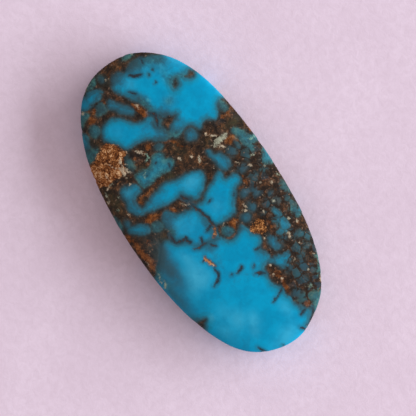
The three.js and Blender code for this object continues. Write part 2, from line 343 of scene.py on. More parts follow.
oliveWashes = [
    (-5.5, 8.2, 0.6, 1.2, 0, 0.9), (-17.4, -1.4, 0.9, 0.9, 0, 0.6), (-5.3, -8.1, 1.9, 0.8, 0, 0.8),
    (-4.5, -1.3, 0.6, 0.8, 0, 1), (-6.8, -3.4, 0.5, 1, 0, 0.7), (1, -6, 1.1, 0.8, 0, 0.7),
    (-18, 1.6, 0.6, 2, 0, 0.3), (-6.4, 1.2, 1.2, 0.8, 0, 0.5), (-16.6, 5, 0.5, 0.8, -40, 0.8),
    (2, -7.4, 2, 0.6, 0, 0.6), (16.2, 4.8, 0.5, 0.5, 0, 0.8), (-5.2, 4.6, 0.6, 0.8, 0, 0.5),
    (-12, -6.3, 1.2, 0.6, 0, 0.5), (-10.9, -7.4, 0.5, 0.8, 0, 0.7),
]

# Rusty stains in the matrix: x, y, half length, half width, turn in degrees, strength
rustStains = [
    (-14.4, -5.2, 0.7, 0.75, 0, 1), (-12.2, 0.1, 1.15, 0.36, 17, 1.4), (-15.3, -4.2, 0.35, 0.35, 0, 1.1),
    (-4.7, -2.6, 0.3, 1, 10, 0.6), (-4.4, -4.4, 0.3, 1.2, 12, 0.75), (-3.8, -5.6, 0.4, 0.4, 0, 0.8),
    (-9.4, 2, 0.3, 0.8, 30, 0.5), (3.8, 1.5, 0.4, 0.7, 0, 0.7), (5.15, 0.7, 0.3, 0.9, 0, 0.9),
    (4.4, 1.6, 0.8, 0.3, 0, 0.7), (3.4, -0.1, 0.7, 0.3, 0, 0.7), (-1.3, -4.4, 0.8, 0.8, 0, 0.7),
    (-1.7, -6, 0.5, 0.8, 0, 0.8), (11.7, 2.7, 1.5, 0.5, 0, 0.6), (6.8, 5.2, 1.6, 0.4, 0, 0.5),
    (-15.6, -5, 0.2, 0.3, 0, 1), (-15.5, -2.75, 0.4, 0.35, 0, 0.8), (-6.7, 7.7, 0.45, 0.8, 0, 0.8),
    (-7.2, 8.8, 0.4, 0.4, 0, 0.6), (-4, 6.5, 0.5, 0.8, 0, 1), (-3.7, 7.4, 0.6, 0.35, 0, 0.9),
    (-8.5, -1.4, 0.6, 0.7, 0, 0.9), (-8.3, -3.5, 0.35, 0.35, 0, 0.9), (-6.8, -2.6, 0.35, 0.8, 0, 0.6),
    (-1.1, -3, 0.5, 0.4, 0, 0.9), (1.9, 7.6, 0.35, 0.8, 0, 0.5), (2.7, 8.4, 0.6, 0.4, 0, 0.5),
    (0.9, 5.6, 0.9, 0.4, 0, 0.7), (5.9, 7.4, 0.35, 0.3, 0, 0.5), (8.4, 7.7, 0.55, 0.35, 0, 0.4),
    (16.2, 3.6, 0.5, 0.45, 0, 1.3), (13.3, 2.7, 0.8, 0.3, -5, 0.8), (12.4, 6.4, 0.4, 0.35, 0, 0.4),
    (2.4, -8.5, 1.8, 0.5, 0, 1.1), (3.3, -7.5, 0.7, 0.45, 0, 1), (0.5, -7.4, 0.4, 0.4, 0, 0.7),
    (-7, 1.5, 0.9, 0.4, 35, 0.8), (-7.9, 0.4, 0.4, 0.4, 0, 0.7), (-0.6, -8.9, 2.6, 0.4, 0, 0.6),
    (-1.6, -5.4, 0.6, 0.6, 0, 0.5), (-3.2, -7.6, 0.5, 0.3, 30, 0.7), (1.2, 4.7, 0.25, 0.5, 0, 0.5),
    (-4, 9.2, 0.6, 0.25, 0, 0.8), (4, 2.3, 0.3, 0.4, 0, 0.4), (14.6, 6.5, 0.7, 0.2, -32, 0.7),
    (6, 5.2, 0.5, 0.3, 0, 0.4), (-13.4, -0.35, 0.4, 0.25, 20, 0.8), (-11.9, -5.7, 0.5, 0.35, -30, 0.5),
    (-13.6, -6.4, 0.8, 0.2, 10, 0.6), (-4.8, 4.2, 0.35, 0.4, 0, 0.6), (10.7, 2.2, 0.5, 0.5, 0, 0.3),
    (5.2, 0.8, 0.2, 0.5, 0, 0.6), (-5, 7.3, 0.5, 0.3, 0, 0.5), (-18, -0.6, 0.8, 1, 0, 0.3),
    (-17.8, 1.2, 0.8, 1.2, 0, 0.35),
]

# Two grainy, crumbly patches with their outlines, and how golden each one is
grainyPatches = [
    (0, [(-9.3, -3.9), (-8.9, -4.4), (-8.4, -4.7), (-7.6, -5.4), (-7.4, -6), (-7.5, -6.9), (-7.3, -7.6),
           (-7.6, -8.2), (-8.3, -9.6), (-10.4, -9.4), (-10.3, -8.1), (-10.6, -7.4), (-11, -6.8),
           (-11.2, -6.1), (-11.5, -5.4), (-11.1, -4.7), (-10.6, -4.3), (-9.8, -4.1)]),
    (1, [(5.2, 4.3), (5.4, 4.7), (5.9, 4.8), (6.3, 4.7), (6.8, 4.4), (6.9, 3.9), (6.7, 3.5), (6.3, 3.1),
           (5.8, 2.9), (5.4, 3.2), (5.2, 3.7)]),
]

# Cream and mint flecks: half width, mint from 0 to 1, and the path. A single place is a round fleck.
flecks = [
    (0.12, 0, [(-6.05, 4.7)]), (0.1, 0.1, [(-5.65, 5.2), (-5.4, 5.6)]),
    (0.3, 0.4, [(-4.75, 6.5), (-4.75, 5.9), (-4.7, 5.3), (-4.5, 4.9)]),
    (0.16, 0, [(-4.3, 5.2), (-3.7, 5.6)]), (0.08, 0, [(-4.8, 4.5), (-4.6, 4.8)]),
    (0.14, 0, [(-0.35, 6.95)]), (0.15, 0, [(-1.5, 5.85), (-1.3, 6)]), (0.14, 0.5, [(-1.3, 7.7), (-1.2, 8)]),
    (0.13, 0, [(-5.45, 0.75)]), (0.09, 0, [(-5.2, 0.8)]), (0.1, 0, [(-4.9, 1.9)]),
    (0.17, 0.3, [(4.4, 6.9)]), (0.13, 0.1, [(4.5, 5.3), (4.9, 5.35)]), (0.15, 0.2, [(7, 7.35)]),
    (0.15, 0.1, [(8.45, 6.3)]), (0.1, 0, [(8.85, 6.1)]), (0.12, 0.1, [(7.8, 7.9)]), (0.1, 0, [(2.5, 7.85)]),
    (0.15, 0.5, [(2, 9), (2.3, 9.1)]), (0.15, 0, [(12.3, 2.9)]), (0.1, 0.2, [(13.1, 5.85)]),
    (0.07, 0, [(11.9, 7.5)]), (0.09, 0, [(11.1, 5.5), (11.2, 5.1)]), (0.06, 0, [(14.2, 6.75), (14.9, 6.3)]),
    (0.1, 0, [(10.4, 2.7)]), (0.08, 0, [(11.4, 2.3)]), (0.28, 0.8, [(14.65, 5.1), (14.7, 4.8)]),
    (0.14, 0, [(-17.65, -1.1), (-17.5, -1.3)]), (0.1, 0, [(-17.75, -3.8)]),
    (0.14, 0.8, [(-18, -3.1), (-17.9, -3.4)]), (0.12, 0.2, [(-15.75, -5.6)]), (0.1, 0, [(-9.3, -3.95)]),
    (0.1, 0, [(-8.3, -4.65)]), (0.16, 0, [(-8.55, -2.6), (-8.25, -2.4)]), (0.1, 0, [(-8.5, -2.2)]),
    (0.08, 0.2, [(-8.75, -2.85)]), (0.16, 0.9, [(-7.8, -2.1), (-7.4, -2.3), (-7.3, -2.65)]),
    (0.17, 0, [(-9.1, -5), (-8.5, -5.1), (-8, -5.25)]), (0.18, 0, [(-8, -5.25), (-7.75, -5), (-7.4, -4.8)]),
    (0.16, 0, [(-8, -5.25), (-8.3, -5.65)]), (0.15, 0, [(-8, -5.25), (-7.7, -5.5), (-7.3, -5.6)]),
    (0.16, 0, [(-7.35, -5.5)]), (0.07, 0, [(-9.3, -6.2), (-8.8, -6.1), (-8.5, -5.95)]),
    (0.12, 0, [(-7.2, -7.9), (-6.95, -8)]), (0.07, 0.4, [(-7.3, -7), (-7.3, -7.5)]),
    (0.15, 0.5, [(-6.8, -8.4), (-6.5, -8.5)]), (0.11, 0.5, [(-5.7, -7.4)]),
    (0.09, 0.2, [(-6, -8.5), (-5.8, -8.8)]), (0.14, 0.7, [(-4.5, -8.3)]),
    (0.1, 0.1, [(-3.3, -7.65), (-3.1, -7.5)]), (0.09, 0.1, [(2, -9), (2.2, -8.95)]),
    (0.1, 0.1, [(2.5, -8.85)]), (0.09, 0.5, [(4.2, -8.5), (4.7, -8.75), (5.3, -8.8)]),
    (0.1, 0.6, [(5, -8.4), (5.7, -8.7)]), (0.12, 0, [(-8.5, -7.4), (-8.2, -7.35)]),
    (0.16, 0.9, [(-2.9, 9.1), (-2.85, 8.7), (-2.9, 8.4)]), (0.14, 0.8, [(-6.3, -3.4), (-6, -3.7)]),
    (0.05, 0.3, [(-4.4, 2.75), (-3.9, 2.4)]), (0.05, 0.1, [(-1.05, -1.85), (-0.75, -1.6), (-0.45, -1.25)]),
    (0.09, 0, [(3.45, 0.9), (3.6, 0.7)]), (0.12, 0.1, [(3.3, 3.5), (3.5, 3.7)]),
    (0.09, 0, [(7.15, 4.1), (7.45, 3.6)]), (0.12, 0.3, [(18.25, 2.35), (18.35, 2.15)]),
    (0.1, 0.2, [(17.6, 3.45)]), (0.08, 0, [(2.9, 3.9), (3.3, 4)]), (0.06, 0, [(6.5, -2.85), (6.75, -2.75)]),
    (0.1, 0.6, [(-18.3, 2.8)]), (0.06, 0, [(-13.3, 0), (-12.6, 0.05)]), (0.1, 0, [(-2.4, 3.3)]),
    (0.08, 0, [(-3.2, 5.9)]), (0.1, 0.2, [(0.6, 8.3)]), (0.09, 0.1, [(3.1, 6.2)]), (0.1, 0, [(-6.1, -5.6)]),
    (0.08, 0, [(-6.9, -5.5)]), (0.1, 0, [(1.9, 6.9)]), (0.07, 0, [(9.9, 6.9)]),
]

# Ground where broken fragments lie in dark matrix: x, y, half length, half width, turn in degrees, strength
brecciaWashes = [
    (2.5, 7.2, 7.5, 2.2, 0, 1.2), (10.5, 6.4, 5.5, 2.2, -12, 1.3), (14.5, 4.6, 2.6, 2, -25, 1),
    (-16, -3.6, 2.4, 2.2, 0, 0.5), (-7.8, -3.4, 1.2, 1.4, 0, 0.5),
]


# Measuring the pattern over the whole skin. Depths are in millimetres, above 0 inside a shape.

def roundedLoop(points, steps=3):
    # a smooth closed curve through the drawn points
    p = np.array(points, float)
    before, after, beyond = np.roll(p, 1, 0), np.roll(p, -1, 0), np.roll(p, -2, 0)
    curve = []
    for step in range(steps):
        t = step / steps
        curve.append(0.5 * (
            2 * p + (after - before) * t + (2 * before - 5 * p + 4 * after - beyond) * t ** 2
            + (3 * p - before - 3 * after + beyond) * t ** 3))
    return np.stack(curve, 1).reshape(-1, 2)


def pathDistance(places, starts, ends):
    nearest = np.full(len(places), 1e9)
    for start, end in zip(starts, ends):
        along = end - start
        length = max(along @ along, 1e-9)
        share = np.clip((places - start) @ along / length, 0, 1)
        gap = places - start - share[:, None] * along
        nearest = np.minimum(nearest, (gap ** 2).sum(1))
    return np.sqrt(nearest)


def insideLoop(places, loop):
    inside = np.zeros(len(places), bool)
    for a, b in zip(loop, np.roll(loop, -1, 0)):
        if a[1] == b[1]:
            continue
        crosses = (a[1] > places[:, 1]) != (b[1] > places[:, 1])
        edgeX = a[0] + (places[:, 1] - a[1]) * (b[0] - a[0]) / (b[1] - a[1])
        inside ^= crosses & (places[:, 0] < edgeX)
    return inside


def loopDepth(places, points, reach=2.0):
    loop = roundedLoop(points)
    depth = np.full(len(places), -reach)
    close = ((places > loop.min(0) - reach) & (places < loop.max(0) + reach)).all(1)
    near = places[close]
    distance = pathDistance(near, loop, np.roll(loop, -1, 0))
    depth[close] = np.where(insideLoop(near, loop), distance, -distance)
    return np.maximum(depth, -reach)


def strokeDepth(places, halfWidth, points, reach=1.5):
    # a stroke along the points, thinner towards both its ends
    p = np.array(points, float)
    depth = np.full(len(places), -reach)
    close = ((places > p.min(0) - reach) & (places < p.max(0) + reach)).all(1)
    near = places[close]
    if len(p) == 1:
        depth[close] = halfWidth - pathDistance(near, p, p)
    else:
        toEnd = np.minimum(np.linalg.norm(near - p[0], axis=1), np.linalg.norm(near - p[-1], axis=1))
        taper = 0.4 + 0.6 * smoothStep(0, 0.5, toEnd)
        depth[close] = halfWidth * taper - pathDistance(near, p[:-1], p[1:])
    return np.maximum(depth, -reach)


def ovalReach(places, x, y, halfLength, halfWidth, turn):
    # 0 at the middle of the oval, 1 on its edge
    angle = math.radians(turn)
    dx, dy = places[:, 0] - x, places[:, 1] - y
    along = (dx * math.cos(angle) + dy * math.sin(angle)) / halfLength
    across = (dy * math.cos(angle) - dx * math.sin(angle)) / halfWidth
    return np.sqrt(along ** 2 + across ** 2)


def washOver(places, washes, ground=0, most=1):
    total = np.zeros(len(places))
    for *oval, strength in washes:
        total += strength * np.exp(-1.2 * ovalReach(places, *oval) ** 2)
    return np.clip(ground + total, 0, most)


def nearestOf(depths, values):
    best = np.argmax(depths, 0)
    return np.max(depths, 0), np.array(values)[best]


def smoothStep(low, high, value):
    t = np.clip((value - low) / (high - low), 0, 1)
    return t * t * (3 - 2 * t)


def wander(points, size, seed):
    # a soft random push for every point; size is the width of its lumps in millimetres
    shift = Vector((seed * 7.3, seed * 3.1, seed * 5.7))
    return np.array([noise.noise_vector(Vector(p) / size + shift) for p in points])


def measurePattern(points, normals):
    plan = patternPlan(points)
    poolDepths = [loopDepth(plan, edge) for _, _, edge in pools.values()]
    tones = [tone for tone, _, _ in pools.values()]
    greens = [green for _, green, _ in pools.values()]
    for x, y, halfLength, halfWidth, turn, tone, green in pebbles:
        reach = ovalReach(plan, x, y, halfLength, halfWidth, turn)
        poolDepths.append(np.maximum((1 - reach) * min(halfLength, halfWidth), -2.0))
        tones.append(tone)
        greens.append(green)
    poolDepths = np.array(poolDepths)
    weights = np.exp(np.clip(poolDepths, -2, 0.5) / stone["toneBlend"])
    weights /= weights.sum(0)
    veinDepths = [strokeDepth(plan, halfWidth, path) for halfWidth, _, path in veins]
    veinDepth, veinStain = nearestOf(veinDepths, [stain for _, stain, _ in veins])
    fleckDepths = [strokeDepth(plan, halfWidth, path) for halfWidth, _, path in flecks]
    fleckDepth, fleckMint = nearestOf(fleckDepths, [mint for _, mint, _ in flecks])
    grainDepths = [loopDepth(plan, edge) for _, edge in grainyPatches]
    grainDepth, golden = nearestOf(grainDepths, [gold for gold, _ in grainyPatches])
    islandDepth = np.max([loopDepth(plan, edge) for edge in islands.values()], 0) + stone["islandRim"]
    buried = np.clip(stone["rimHeight"] - points[:, 2], 0, None)
    veinDepth = veinDepth - stone["veinFade"] * buried
    fleckDepth = fleckDepth - stone["veinFade"] * buried
    tone = (np.array(tones)[:, None] * weights).sum(0)
    green = (np.array(greens)[:, None] * weights).sum(0)
    return {
        "blueDepth": np.minimum(poolDepths.max(0), -np.maximum(grainDepth, islandDepth)),
        "tone": washOver(plan, toneWashes, tone),
        "green": washOver(plan, greenWashes, green),
        "pale": washOver(plan, paleAndSheenWashes),
        "smoke": washOver(plan, smokeWashes),
        "olive": washOver(plan, oliveWashes),
        "rust": washOver(plan, rustStains, most=1.3),
        "breccia": washOver(plan, brecciaWashes),
        "veinDepth": veinDepth,
        "veinStain": veinStain,
        "fleckDepth": fleckDepth,
        "fleckMint": fleckMint,
        "grainDepth": grainDepth,
        "golden": golden,
        "backward": smoothStep(-0.5, -0.9, normals[:, 2]),
    }


def patternPlan(points):
    # where each point of the skin falls on the drawn plan, as the camera sees it. Below the rim the pattern
    # drifts with depth, so that the wall and the back show the same ground cut at another level
    z = points[:, 2]
    eye = np.array(camera.location[:2]) / mm
    height = shot["cameraHeight"]
    rim = stone["rimHeight"]
    zoom = (height - rim) / (height - np.maximum(z, rim))
    plan = eye + (points[:, :2] - eye) * zoom[:, None]
    depth = np.clip(rim - z, 0, None)
    drift = stone["patternDrift"] * wander(points * (1, 1, 0), size=6.0, seed=4)[:, :2] + stone["patternDip"]
    plan += depth[:, None] * drift
    swirl = stone["patternSwirl"] * smoothStep(0, stone["swirlDepth"], depth)
    plan += swirl[:, None] * wander(points, size=2.4, seed=9)[:, :2]
    plan *= (1 - stone["narrowing"] * depth)[:, None]
    bends = stone["broadBend"] * wander(points, size=1.3, seed=1)[:, :2]
    bends += stone["fineBend"] * wander(points, size=0.5, seed=2)[:, :2]
    return plan + bends


# The stone's mesh: a copy of the solid, rounded, given an even fine skin, and worn along its pattern

def roundedSolid():
    bm = bmesh.new()
    bm.from_mesh(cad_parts[stone["node"]].data)
    bmesh.ops.remove_doubles(bm, verts=bm.verts, dist=0.002 * mm)
    limit = math.radians(4)
    bmesh.ops.join_triangles(
        bm, faces=bm.faces, angle_face_threshold=limit, angle_shape_threshold=math.pi)
    crease = bm.edges.layers.float.new("crease_edge")
    for edge in bm.edges:
        if edge.calc_face_angle(0) > math.radians(stone["sharpTurn"]):
            edge[crease] = stone["cornerHold"]
    mesh = bpy.data.meshes.new("roundedSolid")
    bm.to_mesh(mesh)
    bm.free()
    return mesh


def evenSkin():
    base = added("roundedSolid", roundedSolid())
    rounding = base.modifiers.new("rounding", "SUBSURF")
    rounding.levels = rounding.render_levels = stone["facetRounding"]
    even = base.modifiers.new("evenSkin", "REMESH")
    even.mode = "VOXEL"
    even.voxel_size = stone["skinGrain"] * mm
    graph = bpy.context.evaluated_depsgraph_get()
    mesh = bpy.data.meshes.new_from_object(base.evaluated_get(graph))
    bpy.data.objects.remove(base)
    bm = bmesh.new()
    bm.from_mesh(mesh)
    for _ in range(stone["smoothing"]):
        bmesh.ops.smooth_vert(
            bm, verts=bm.verts, factor=0.5, use_axis_x=True, use_axis_y=True, use_axis_z=True)
    bmesh.ops.recalc_face_normals(bm, faces=bm.faces)
    bm.to_mesh(mesh)
    bm.free()
    mesh.name = "turquoiseSkin"
    return mesh


def wearSkin(points, normals, pattern):
    # the blue stands proud; matrix, veins and the grainy patches are worn a little lower
    matrix = smoothStep(0.12, -0.12, pattern["blueDepth"])
    vein = smoothStep(-0.12, 0.06, pattern["veinDepth"])
    grain = smoothStep(-0.1, 0.25, pattern["grainDepth"])
    fleck = smoothStep(-0.02, 0.1, pattern["fleckDepth"])
    front = 1 - pattern["backward"]
    lumps = wander(points, size=0.42, seed=5)[:, 0]
    fine = wander(points, size=0.26, seed=6)[:, 0]
    hollows = np.clip(wander(points, size=0.9, seed=7)[:, 0] - 0.18, 0, 1)
    dip = matrix * (stone["matrixDip"] * (1 + 0.5 * lumps) + stone["hollowDip"] * hollows)
    dip += vein * (1 - matrix) * stone["veinGroove"]
    dip += grain * stone["grainPits"] * (0.6 + lumps + 0.8 * fine)
    dip -= stone["fleckRise"] * fleck * matrix
    waves = stone["polishWaves"] * wander(points, size=3.5, seed=8)[:, 0]
    wear = stone["backWear"] + (1 - stone["backWear"]) * front
    worn = points - normals * (dip * wear + waves * front)[:, None]
    worn[points[:, 2] < stone["restingHeight"], 2] = 0
    worn[:, 2] = np.maximum(worn[:, 2], 0)
    return worn


def pulled(items, name, width=1, kind=float):
    values = np.empty(len(items) * width, kind)
    items.foreach_get(name, values)
    return values.reshape(-1, width) if width > 1 else values


# How the unwrapped skin lies on its square sheet, in millimetres
sheet = {
    "margin": 4.4,
    "domeUp": 9.6,
    "backDown": 13.9,
    "foldStart": 0.6,  # above the rim; from here down the wall is laid outwards
}


def unwrapSkin(mesh, points, normals):
    # two islands: the dome with the wall laid out around it, and the back beside it
    layer = mesh.uv_layers.new(name="OFBake")
    reach = np.linalg.norm(normals[:, :2], axis=1, keepdims=True)
    outward = normals[:, :2] / np.maximum(reach, 1e-6)
    fold = np.clip(stone["rimHeight"] + sheet["foldStart"] - points[:, 2], 0, None)
    dome = points[:, :2] + outward * fold[:, None] * smoothStep(0.3, 0.8, reach)
    back = points[:, :2] * (1, -1)
    loops = pulled(mesh.loops, "vertex_index", kind=int)
    counts = pulled(mesh.polygons, "loop_total", kind=int)
    isBack = np.repeat(pulled(mesh.polygons, "normal", 3)[:, 2] < -0.85, counts)
    side = 2 * (cadBox[1].x / mm + sheet["margin"])
    backSpots = back[loops] - (0, sheet["backDown"])
    domeSpots = dome[loops] + (0, sheet["domeUp"])
    spots = np.where(isBack[:, None], backSpots, domeSpots)
    layer.data.foreach_set("uv", (spots / side + 0.5).ravel())


def makeStone():
    mesh = evenSkin()
    points = pulled(mesh.vertices, "co", 3) / mm
    normals = pulled(mesh.vertex_normals, "vector", 3)
    print("even skin of", len(mesh.polygons), "faces")
    pattern = measurePattern(points, normals)
    print("pattern measured at", len(points), "points")
    worn = wearSkin(points, normals, pattern)
    mesh.vertices.foreach_set("co", (worn * mm).ravel())
    for name, values in pattern.items():
        attribute = mesh.attributes.new(name, "FLOAT", "POINT")
        attribute.data.foreach_set("value", values.astype(np.float32))
    unwrapSkin(mesh, points, normals)
    mesh.polygons.foreach_set("use_smooth", np.ones(len(mesh.polygons), bool))
    mesh.update()
    piece = added("turquoiseStone", mesh)
    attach(piece, "root")
    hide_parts(stone["node"])
    return piece


# Materials

class Wiring:
    # short ways to place and join the nodes of one material

    def __init__(self, name):
        self.material = bpy.data.materials.new(name)
        self.material.use_nodes = True
        self.tree = self.material.node_tree
        self.tree.nodes.clear()

    def node(self, kind, inputs=None, **settings):
        made = self.tree.nodes.new("ShaderNode" + kind)
        for name, value in settings.items():
            setattr(made, name, value)
        for name, value in (inputs or {}).items():
            self.give(made.inputs[name], value)
        return made

    def give(self, socket, value):
        if isinstance(value, bpy.types.NodeSocket):
            self.tree.links.new(value, socket)
        else:
            socket.default_value = value

    def plus(self, a, b):
        return self.node("Math", {0: a, 1: b}, operation="ADD").outputs[0]

    def minus(self, a, b):
        return self.node("Math", {0: a, 1: b}, operation="SUBTRACT").outputs[0]

    def times(self, a, b):
        return self.node("Math", {0: a, 1: b}, operation="MULTIPLY").outputs[0]

    def push(self, value, by, amount):
        # value plus by times amount
        return self.node("Math", {0: by, 1: amount, 2: value}, operation="MULTIPLY_ADD").outputs[0]

    def span(self, value, low, high, start=0.0, end=1.0):
        # a soft step of value from low to high
        inputs = {"Value": value, "From Min": low, "From Max": high, "To Min": start, "To Max": end}
        return self.node("MapRange", inputs, interpolation_type="SMOOTHSTEP").outputs[0]

    def mix(self, share, a, b):
        return self.node("Mix", {0: share, 6: a, 7: b}, data_type="RGBA").outputs[2]

    def attribute(self, name):
        return self.node("Attribute", attribute_name=name).outputs["Fac"]

    def millimetres(self):
        # places on the object in millimetres
        coords = self.node("TexCoord").outputs["Object"]
        return self.node("Mapping", {"Vector": coords, "Scale": (1 / mm, 1 / mm, 1 / mm)}).outputs["Vector"]

    def bent(self, place, colour, amount):
        # places pushed about by a noise's colour
        inputs = {0: colour, 1: (amount, amount, amount), 2: place}
        return self.node("VectorMath", inputs, operation="MULTIPLY_ADD").outputs[0]

    def split(self, colour):
        return self.node("SeparateColor", {"Color": colour}).outputs

    def surface(self, inputs):
        shader = self.node("BsdfPrincipled", inputs)
        self.node("OutputMaterial", {"Surface": shader.outputs["BSDF"]})
        return self.material

    def noise(self, place, scale, detail=3.0, roughness=0.55, distortion=0.0):
        inputs = {"Vector": place, "Scale": scale, "Detail": detail, "Roughness": roughness,
                  "Distortion": distortion}
        return self.node("TexNoise", inputs).outputs

    def cells(self, place, scale, feature="F1"):
        return self.node("TexVoronoi", {"Vector": place, "Scale": scale}, feature=feature).outputs

    def ramp(self, share, stops):
        made = self.node("ValToRGB", {"Fac": share})
        band = made.color_ramp
        band.interpolation = "EASE"
        while len(band.elements) < len(stops):
            band.elements.new(1.0)
        for element, (place, colour) in zip(band.elements, stops):
            element.position = place
            element.color = tint(*colour)
        return made.outputs["Color"]


def tint(red, green, blue):
    # a colour as the eye reads it, 0 to 255, turned to the linear values that nodes use
    linear = []
    for value in (red, green, blue):
        share = value / 255
        linear.append(share / 12.92 if share <= 0.04045 else ((share + 0.055) / 1.055) ** 2.4)
    return (*linear, 1.0)


stoneLook = {
    "cloudScale": 0.35,  # scales are in noise lumps per millimetre
    "lumpScale": 1.1,
    "grainScale": 2.4,
    "speckScale": 7.0,
    "stainScale": 1.2,
    "edgeJitter": 0.6,  # how raggedly the blue meets the brown, in millimetres
    "clearBlue": [(0.0, (52, 62, 62)), (0.1, (50, 80, 88)), (0.3, (38, 108, 130)), (0.62, (16, 134, 168)),
                  (1.0, (2, 150, 193))],
    "dullBlue": [(0.0, (50, 56, 56)), (0.25, (50, 72, 80)), (1.0, (44, 90, 108))],
    "blueReach": 1.3,  # depth at which the blue is at its clearest
    "blueSpread": 0.1,  # how far the blue runs past its drawn edge
    "deepBlue": (2, 128, 170),
    "paleBlue": (66, 170, 204),
    "green": [(0.0, (52, 62, 54)), (0.4, (56, 98, 96)), (0.75, (62, 120, 116)), (1.0, (92, 144, 130))],
    "smoke": (54, 78, 86),
    "slate": (50, 60, 60),
    "mottle": (14, 60, 84),
    "cutDepth": 0.3,  # how deep the gaps cut into small blue pieces
    "rubbleScale": 0.9,
    "rubbleBend": 0.9,
    "brown": [(0.0, (31, 25, 24)), (0.3, (44, 34, 28)), (0.52, (61, 44, 34)), (0.75, (85, 56, 38)),
              (1.0, (124, 86, 60))],
    "rust": [(0.0, (52, 30, 20)), (0.35, (92, 50, 24)), (0.65, (124, 71, 34)), (1.0, (168, 112, 66))],
    "crumbs": [(0.0, (58, 32, 20)), (0.3, (102, 56, 28)), (0.6, (134, 80, 42)), (0.85, (164, 108, 64)),
               (1.0, (206, 162, 122))],
    "crumbScale": 2.4,
    "crumbBend": 0.5,
    "gold": [(0.0, (50, 30, 20)), (0.35, (94, 56, 30)), (0.7, (140, 86, 46)), (1.0, (196, 140, 88))],
    "olive": (60, 58, 42),
    "fragment": [(0.0, (40, 44, 47)), (0.6, (40, 58, 68)), (1.0, (54, 76, 80))],
    "dust": (142, 112, 94),
    "dustScale": 3.0,
    "vein": [(0.0, (44, 40, 44)), (0.35, (66, 50, 44)), (0.7, (112, 70, 44)), (1.0, (182, 122, 74))],
    "veinHalo": (38, 84, 100),
    "gap": (38, 30, 27),
    "cream": (196, 177, 153),
    "mint": (104, 150, 136),
    "scratched": (150, 156, 152),  # chalky grinding marks on the back
    "roughBlue": 0.4,
    "roughBrown": 0.5,
    "specular": 0.06,
}


